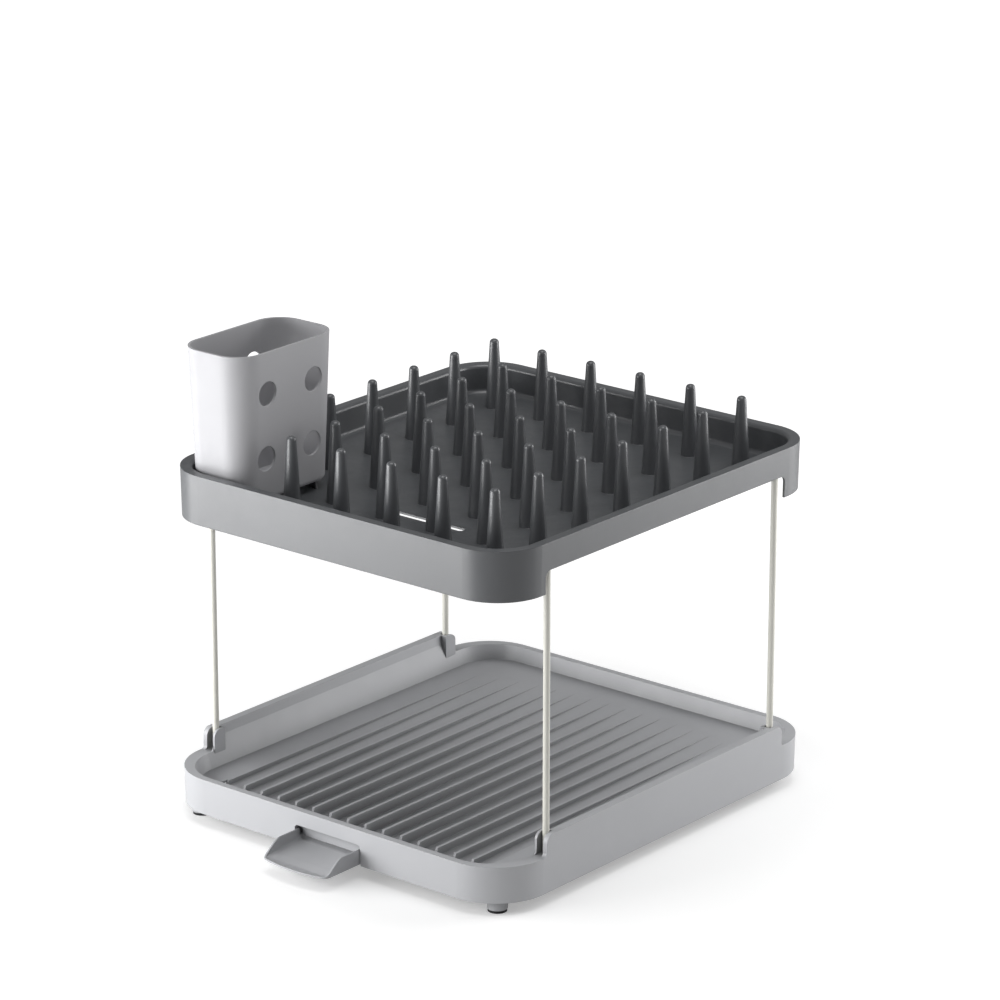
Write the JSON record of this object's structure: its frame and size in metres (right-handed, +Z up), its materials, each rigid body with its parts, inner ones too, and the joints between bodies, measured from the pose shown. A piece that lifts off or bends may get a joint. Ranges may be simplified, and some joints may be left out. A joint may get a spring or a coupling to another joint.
{
  "type": "two-tier dish rack",
  "caption": "Two-tier dish rack: ribbed lower tray with a sliding drain spout, wire frames, pegged upper tray and a cutlery caddy.",
  "frame": {"origin": "on the table, at the middle of the bounding box in plan, midway between the spout's lip and the back of the lower tray", "axes": "+X to the right as seen from the front, +Y from the spout to the back, +Z up"},
  "size_m": [0.3192, 0.399, 0.3482],
  "materials": {
    "tray_light": "satin moulded plastic",
    "spout_light": "satin moulded plastic",
    "tray_dark": "satin moulded plastic",
    "caddy_light": "satin moulded plastic",
    "wire_coated": "smooth off-white coating",
    "pad_rubber": "matte"
  },
  "bodies": {
    "base": {"base_tray": "tray_light", "foot_pad_front_left": "pad_rubber", "foot_pad_front_right": "pad_rubber", "foot_pad_back_left": "pad_rubber", "foot_pad_back_right": "pad_rubber"},
    "spout": {"drain_spout": "spout_light"},
    "left_frame": {"leg_frame_left": "wire_coated"},
    "right_frame": {"leg_frame_right": "wire_coated"},
    "upper": {"upper_tray": "tray_dark"},
    "caddy": {"cutlery_caddy": "caddy_light"}
  },
  "joints": [
    {"name": "spout_slide", "type": "slide", "parent": "base", "child": "spout", "axis": [0, 1, 0], "range_m": [0, 0.026]},
    {"name": "left_frame_lift", "type": "slide", "parent": "base", "child": "left_frame", "axis": [0, 0, 1], "range_m": [0, 0.045]},
    {"name": "right_frame_lift", "type": "slide", "parent": "base", "child": "right_frame", "axis": [0, 0, 1], "range_m": [0, 0.045]},
    {"name": "upper_lift", "type": "slide", "parent": "left_frame", "child": "upper", "axis": [0, 0, 1], "range_m": [0, 0.06]},
    {"name": "caddy_lift", "type": "slide", "parent": "upper", "child": "caddy", "axis": [0, 0, 1], "range_m": [0, 0.12]}
  ],
  "couplings": [
    {"joint": "right_frame_lift", "follows": "left_frame_lift", "ratio": 1}
  ]
}
